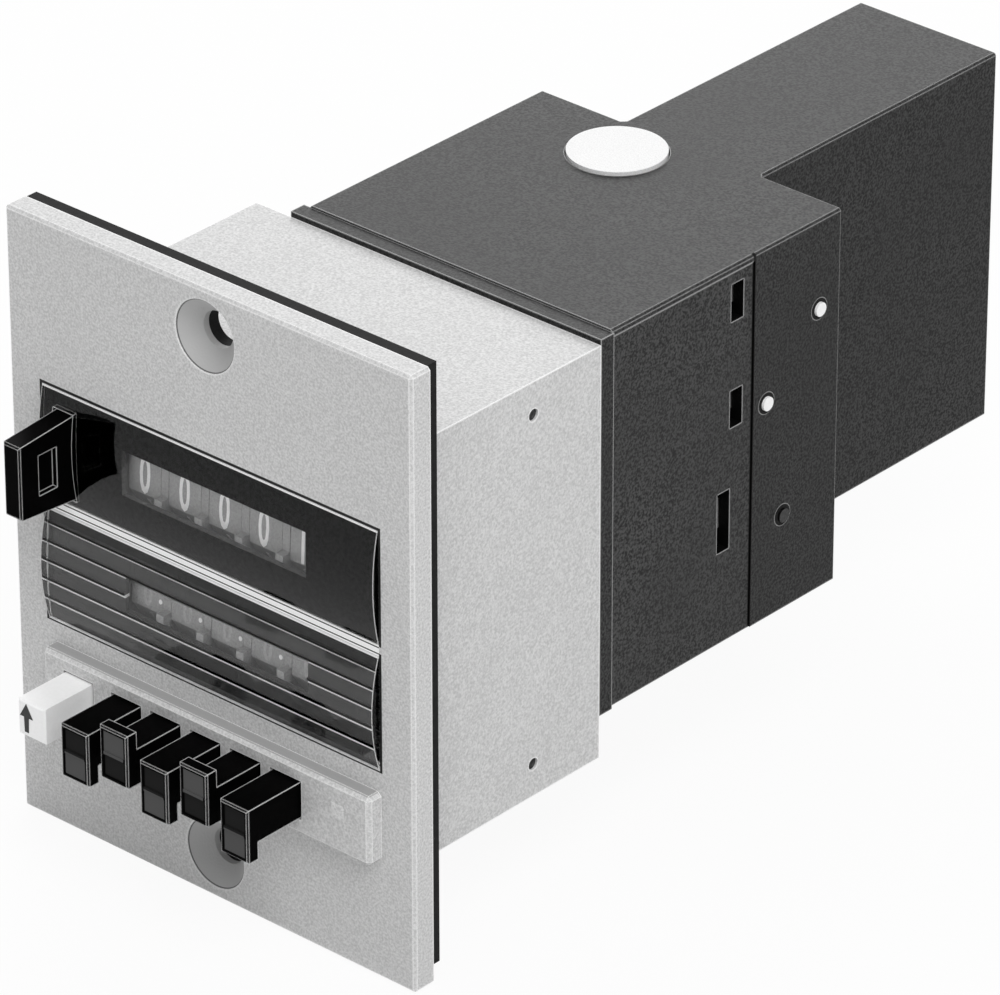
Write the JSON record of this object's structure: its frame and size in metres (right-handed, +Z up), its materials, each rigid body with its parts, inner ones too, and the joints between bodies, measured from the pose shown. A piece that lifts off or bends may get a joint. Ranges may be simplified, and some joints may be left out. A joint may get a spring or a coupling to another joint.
{
  "type": "pneumatic preset timer",
  "caption": "Panel-mounted pneumatic preset timer: front plate with two convex windows over number wheels, setting keys, a reset button and a dark rear case with a narrower block behind.",
  "frame": {"origin": "midway between the two panel screws, on the gasket face that meets the panel", "axes": "+X to the right seen from the front, +Y into the panel, +Z up"},
  "size_m": [0.06, 0.1294, 0.0764],
  "materials": {
    "housing_grey": "fine matte moulded",
    "bezel_grey": "fine matte moulded",
    "gasket_black": "soft matte",
    "lens_clear": "clear acrylic",
    "mask_dark": "dark matte",
    "key_black": "glossy",
    "key_white": "glossy",
    "wheel_grey": "matte",
    "gear_natural": "natural",
    "frame_steel": "bright zinc",
    "shaft_steel": "ground",
    "spring_steel": "cold rolled",
    "comb_black": "matte",
    "case_dark": "grainy matte",
    "cover_dark": "grainy matte",
    "filter_white": "sintered white",
    "plug_white": "smooth",
    "screw_dark": "dark",
    "valve_grey": "matte",
    "port_brass": "turned"
  },
  "bodies": {
    "housing": {"air_chamber": "valve_grey", "back_plate": "frame_steel", "case_floor": "case_dark", "channel_plugs": "plug_white", "display_lens": "lens_clear", "display_mask": "mask_dark", "drive_cylinder": "comb_black", "exhaust_filter": "filter_white", "front_housing": "housing_grey", "key_bezel": "bezel_grey", "key_guide": "comb_black", "key_springs": "spring_steel", "left_side_plate": "frame_steel", "middle_plate": "frame_steel", "panel_gasket": "gasket_black", "pinion_shaft": "shaft_steel", "port_bushes": "port_brass", "preset_lens": "lens_clear", "preset_mask": "mask_dark", "rear_case": "case_dark", "rear_flange": "case_dark", "release_spring": "spring_steel", "reset_spring": "spring_steel", "right_side_plate": "frame_steel", "rocker_shafts": "shaft_steel", "side_cover": "cover_dark", "throttle_screw": "screw_dark", "valve_block": "valve_grey", "wheel_shafts": "shaft_steel"},
    "setting_key_1_body": {"setting_key_1": "key_black"},
    "setting_key_2_body": {"setting_key_2": "key_black"},
    "setting_key_3_body": {"setting_key_3": "key_black"},
    "setting_key_4_body": {"setting_key_4": "key_black"},
    "setting_key_5_body": {"setting_key_5": "key_black"},
    "release_key_body": {"release_key": "key_white"},
    "reset_button_body": {"reset_button": "key_black"},
    "reset_comb_body": {"reset_comb": "comb_black"},
    "release_rocker_body": {"release_rocker": "comb_black"},
    "counter_wheel_1_body": {"counter_wheel_1": "wheel_grey"},
    "counter_wheel_2_body": {"counter_wheel_2": "wheel_grey"},
    "counter_wheel_3_body": {"counter_wheel_3": "wheel_grey"},
    "counter_wheel_4_body": {"counter_wheel_4": "wheel_grey"},
    "counter_wheel_5_body": {"counter_wheel_5": "wheel_grey"},
    "preset_wheel_1_body": {"preset_wheel_1": "wheel_grey"},
    "preset_wheel_2_body": {"preset_wheel_2": "wheel_grey"},
    "preset_wheel_3_body": {"preset_wheel_3": "wheel_grey"},
    "preset_wheel_4_body": {"preset_wheel_4": "wheel_grey"},
    "preset_wheel_5_body": {"preset_wheel_5": "wheel_grey"},
    "transfer_pinion_1_body": {"transfer_pinion_1": "gear_natural"},
    "transfer_pinion_2_body": {"transfer_pinion_2": "gear_natural"},
    "transfer_pinion_3_body": {"transfer_pinion_3": "gear_natural"},
    "transfer_pinion_4_body": {"transfer_pinion_4": "gear_natural"},
    "drive_wheel_body": {"drive_wheel": "gear_natural"},
    "drive_lever_body": {"drive_lever": "comb_black"},
    "drive_piston_body": {"drive_piston": "shaft_steel"},
    "valve_spool_body": {"valve_spool": "shaft_steel"}
  },
  "joints": [
    {"name": "setting_key_1_press", "type": "slide", "parent": "housing", "child": "setting_key_1_body", "axis": [0, 1, 0], "range_m": [0, 0.004], "stiffness_N_per_m": 300, "springref_m": -0.002, "deforming": ["key_springs"]},
    {"name": "setting_key_2_press", "type": "slide", "parent": "housing", "child": "setting_key_2_body", "axis": [0, 1, 0], "range_m": [0, 0.004], "stiffness_N_per_m": 300, "springref_m": -0.002, "deforming": ["key_springs"]},
    {"name": "setting_key_3_press", "type": "slide", "parent": "housing", "child": "setting_key_3_body", "axis": [0, 1, 0], "range_m": [0, 0.004], "stiffness_N_per_m": 300, "springref_m": -0.002, "deforming": ["key_springs"]},
    {"name": "setting_key_4_press", "type": "slide", "parent": "housing", "child": "setting_key_4_body", "axis": [0, 1, 0], "range_m": [0, 0.004], "stiffness_N_per_m": 300, "springref_m": -0.002, "deforming": ["key_springs"]},
    {"name": "setting_key_5_press", "type": "slide", "parent": "housing", "child": "setting_key_5_body", "axis": [0, 1, 0], "range_m": [0, 0.004], "stiffness_N_per_m": 300, "springref_m": -0.002, "deforming": ["key_springs"]},
    {"name": "release_key_press", "type": "slide", "parent": "housing", "child": "release_key_body", "axis": [0, 1, 0], "range_m": [0, 0.003], "stiffness_N_per_m": 300, "springref_m": -0.002},
    {"name": "reset_button_press", "type": "slide", "parent": "housing", "child": "reset_button_body", "axis": [0, 1, 0], "range_m": [0, 0.005], "stiffness_N_per_m": 400, "springref_m": -0.002},
    {"name": "reset_comb_turn", "type": "hinge", "parent": "housing", "child": "reset_comb_body", "pos_m": [0, 0.0145, 0.0218], "axis": [1, 0, 0], "range_deg": [0, 24], "deforming": ["reset_spring"]},
    {"name": "release_rocker_turn", "type": "hinge", "parent": "housing", "child": "release_rocker_body", "pos_m": [0, 0.0145, -0.008], "axis": [1, 0, 0], "range_deg": [0, 18.5], "deforming": ["release_spring"]},
    {"name": "counter_wheel_1_turn", "type": "hinge", "parent": "housing", "child": "counter_wheel_1_body", "pos_m": [-0.0114, 0.00646, 0.011], "axis": [1, 0, 0], "continuous": true},
    {"name": "counter_wheel_2_turn", "type": "hinge", "parent": "housing", "child": "counter_wheel_2_body", "pos_m": [-0.00535, 0.00646, 0.011], "axis": [1, 0, 0], "continuous": true},
    {"name": "counter_wheel_3_turn", "type": "hinge", "parent": "housing", "child": "counter_wheel_3_body", "pos_m": [0.0007, 0.00646, 0.011], "axis": [1, 0, 0], "continuous": true},
    {"name": "counter_wheel_4_turn", "type": "hinge", "parent": "housing", "child": "counter_wheel_4_body", "pos_m": [0.00675, 0.00646, 0.011], "axis": [1, 0, 0], "continuous": true},
    {"name": "counter_wheel_5_turn", "type": "hinge", "parent": "housing", "child": "counter_wheel_5_body", "pos_m": [0.0128, 0.00646, 0.011], "axis": [1, 0, 0], "continuous": true},
    {"name": "preset_wheel_1_turn", "type": "hinge", "parent": "housing", "child": "preset_wheel_1_body", "pos_m": [-0.0114, 0.0037, -0.00435], "axis": [1, 0, 0], "continuous": true},
    {"name": "preset_wheel_2_turn", "type": "hinge", "parent": "housing", "child": "preset_wheel_2_body", "pos_m": [-0.00535, 0.0037, -0.00435], "axis": [1, 0, 0], "continuous": true},
    {"name": "preset_wheel_3_turn", "type": "hinge", "parent": "housing", "child": "preset_wheel_3_body", "pos_m": [0.0007, 0.0037, -0.00435], "axis": [1, 0, 0], "continuous": true},
    {"name": "preset_wheel_4_turn", "type": "hinge", "parent": "housing", "child": "preset_wheel_4_body", "pos_m": [0.00675, 0.0037, -0.00435], "axis": [1, 0, 0], "continuous": true},
    {"name": "preset_wheel_5_turn", "type": "hinge", "parent": "housing", "child": "preset_wheel_5_body", "pos_m": [0.0128, 0.0037, -0.00435], "axis": [1, 0, 0], "continuous": true},
    {"name": "transfer_pinion_1_turn", "type": "hinge", "parent": "housing", "child": "transfer_pinion_1_body", "pos_m": [-0.0084, 0.01681, 0.01279], "axis": [1, 0, 0], "continuous": true},
    {"name": "transfer_pinion_2_turn", "type": "hinge", "parent": "housing", "child": "transfer_pinion_2_body", "pos_m": [-0.00235, 0.01681, 0.01279], "axis": [1, 0, 0], "continuous": true},
    {"name": "transfer_pinion_3_turn", "type": "hinge", "parent": "housing", "child": "transfer_pinion_3_body", "pos_m": [0.0037, 0.01681, 0.01279], "axis": [1, 0, 0], "continuous": true},
    {"name": "transfer_pinion_4_turn", "type": "hinge", "parent": "housing", "child": "transfer_pinion_4_body", "pos_m": [0.00975, 0.01681, 0.01279], "axis": [1, 0, 0], "continuous": true},
    {"name": "drive_wheel_turn", "type": "hinge", "parent": "housing", "child": "drive_wheel_body", "pos_m": [0.017, 0.01721, 0.00054], "axis": [1, 0, 0], "continuous": true},
    {"name": "drive_piston_stroke", "type": "slide", "parent": "housing", "child": "drive_piston_body", "axis": [0, -1, 0], "range_m": [0, 0.003], "stiffness_N_per_m": 300, "springref_m": -0.002},
    {"name": "drive_lever_turn", "type": "hinge", "parent": "housing", "child": "drive_lever_body", "pos_m": [0.0193, 0.01721, 0.00054], "axis": [-1, 0, 0], "range_deg": [0, 27.5]},
    {"name": "valve_spool_stroke", "type": "slide", "parent": "housing", "child": "valve_spool_body", "axis": [0, 1, 0], "range_m": [0, 0.002], "stiffness_N_per_m": 400, "springref_m": -0.002}
  ],
  "couplings": [
    {"joint": "reset_comb_turn", "follows": "reset_button_press", "rad_per_m": 83.775},
    {"joint": "release_rocker_turn", "follows": "release_key_press", "rad_per_m": 107.63},
    {"joint": "drive_lever_turn", "follows": "drive_piston_stroke", "rad_per_m": 159.99},
    {"joint": "drive_wheel_turn", "follows": "counter_wheel_5_turn", "ratio": -1},
    {"joint": "transfer_pinion_1_turn", "follows": "counter_wheel_1_turn", "ratio": -2.5},
    {"joint": "transfer_pinion_2_turn", "follows": "counter_wheel_2_turn", "ratio": -2.5},
    {"joint": "transfer_pinion_3_turn", "follows": "counter_wheel_3_turn", "ratio": -2.5},
    {"joint": "transfer_pinion_4_turn", "follows": "counter_wheel_4_turn", "ratio": -2.5}
  ]
}
